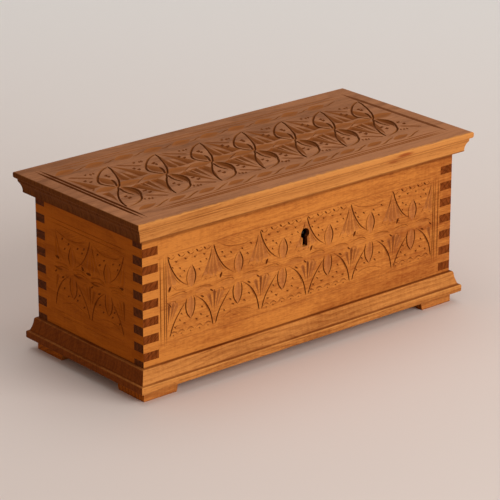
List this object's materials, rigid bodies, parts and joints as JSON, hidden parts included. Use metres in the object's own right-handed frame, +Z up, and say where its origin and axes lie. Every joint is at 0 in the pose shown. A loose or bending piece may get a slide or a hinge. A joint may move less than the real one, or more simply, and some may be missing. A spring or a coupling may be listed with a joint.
{
  "type": "carved wooden box",
  "caption": "Long wooden box with finger-jointed walls, a moulded base on low feet, a hinged moulded lid carved with rosettes and fans, and a keyhole in the carved front.",
  "frame": {"origin": "on the ground under the middle of the box", "axes": "+X along the front to the right as one faces the keyhole, +Y from the front to the back, +Z up"},
  "size_m": [0.2796, 0.1296, 0.1204],
  "materials": {
    "lid_wood": "satin, carved",
    "wall_wood": "satin, carved",
    "end_wood": "satin, carved, dark end grain at the corners",
    "base_wood": "satin",
    "foot_wood": "satin",
    "brass": "brushed, a little dull",
    "screw_brass": "turned",
    "steel": "brushed"
  },
  "bodies": {
    "box": {"front_board": "wall_wood", "back_board": "wall_wood", "left_end_board": "end_wood", "right_end_board": "end_wood", "base_board": "base_wood", "front_left_foot": "foot_wood", "front_right_foot": "foot_wood", "back_left_foot": "foot_wood", "back_right_foot": "foot_wood", "left_hinge_box_leaf": "brass", "left_hinge_pin": "brass", "right_hinge_box_leaf": "brass", "right_hinge_pin": "brass", "hinge_box_screws": "screw_brass", "lock_plate": "brass", "lock_cap": "steel", "lock_spring": "steel", "lock_key_pin": "steel", "lock_pillars": "steel", "lock_screws": "screw_brass", "base_screws": "steel"},
    "lid": {"lid_board": "lid_wood", "left_hinge_lid_leaf": "brass", "right_hinge_lid_leaf": "brass", "hinge_lid_screws": "screw_brass", "lid_strike_plate": "brass", "strike_screws": "screw_brass"},
    "bolt": {"lock_bolt": "steel"}
  },
  "joints": [
    {"name": "lid_hinge", "type": "hinge", "parent": "box", "child": "lid", "pos_m": [0, 0.0562, 0.107], "axis": [-1, 0, 0], "range_deg": [0, 105]},
    {"name": "bolt_slide", "type": "slide", "parent": "box", "child": "bolt", "axis": [1, 0, 0], "range_m": [0, 0.0045]}
  ]
}
